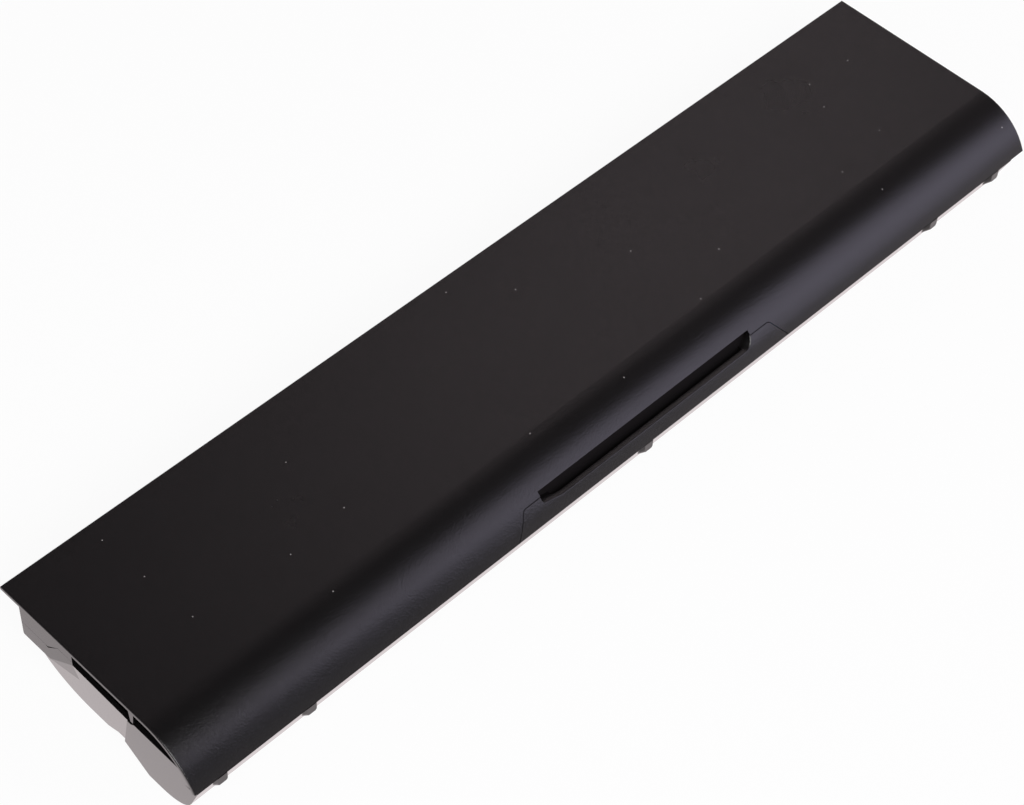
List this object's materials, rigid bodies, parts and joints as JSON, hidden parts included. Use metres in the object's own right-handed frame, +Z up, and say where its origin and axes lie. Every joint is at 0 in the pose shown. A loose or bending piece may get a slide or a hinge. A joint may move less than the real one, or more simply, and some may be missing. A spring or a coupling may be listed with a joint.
{
  "type": "laptop battery",
  "caption": "Long flat laptop battery: black moulded tray and cover with a rounded front edge, a finger grip slot, a thin rear flange and a slotted connector, closed round cylindrical cells.",
  "frame": {"origin": "middle of the pack in plan, on the surface that its flat lands rest on", "axes": "+X along the pack, towards the cells' positive ends; +Y towards the rear flange and the connector; +Z up, towards the cover's flat top"},
  "size_m": [0.208, 0.0472, 0.02],
  "materials": {
    "cover_plastic": "satin black, fine moulded grain",
    "tray_plastic": "smooth black",
    "cell_sleeve": "shrink sleeve",
    "ring_fibre": "fibre sheet",
    "strip_nickel": "nickel",
    "pad_foam": "black foam",
    "board_laminate": "green solder mask",
    "connector_plastic": "black moulded",
    "contact_brass": "gilt",
    "chip_resin": "moulded resin",
    "capacitor_ceramic": "ceramic",
    "fuse_resin": "white resin",
    "lead_black": "insulated wire",
    "lead_red": "insulated wire"
  },
  "bodies": {
    "root": {"bottom_tray": "tray_plastic", "capacitor_cells": "capacitor_ceramic", "capacitor_gauge": "capacitor_ceramic", "capacitor_input": "capacitor_ceramic", "cell_front_left": "cell_sleeve", "cell_front_middle": "cell_sleeve", "cell_front_right": "cell_sleeve", "cell_rear_left": "cell_sleeve", "cell_rear_middle": "cell_sleeve", "cell_rear_right": "cell_sleeve", "charge_transistor": "chip_resin", "circuit_board": "board_laminate", "connector_housing": "connector_plastic", "contact_1": "contact_brass", "contact_2": "contact_brass", "contact_3": "contact_brass", "contact_4": "contact_brass", "contact_5": "contact_brass", "contact_6": "contact_brass", "contact_7": "contact_brass", "contact_8": "contact_brass", "contact_9": "contact_brass", "discharge_transistor": "chip_resin", "end_pad_left": "pad_foam", "end_pad_right": "pad_foam", "gauge_chip": "chip_resin", "insulating_ring_front_left": "ring_fibre", "insulating_ring_front_middle": "ring_fibre", "insulating_ring_front_right": "ring_fibre", "insulating_ring_rear_left": "ring_fibre", "insulating_ring_rear_middle": "ring_fibre", "insulating_ring_rear_right": "ring_fibre", "lead_negative": "lead_black", "lead_positive": "lead_red", "protector_chip": "chip_resin", "sense_resistor": "chip_resin", "strip_lower_tap": "strip_nickel", "strip_negative_end": "strip_nickel", "strip_positive_end": "strip_nickel", "strip_upper_tap": "strip_nickel", "thermal_fuse": "fuse_resin", "top_cover": "cover_plastic"}
  },
  "joints": []
}
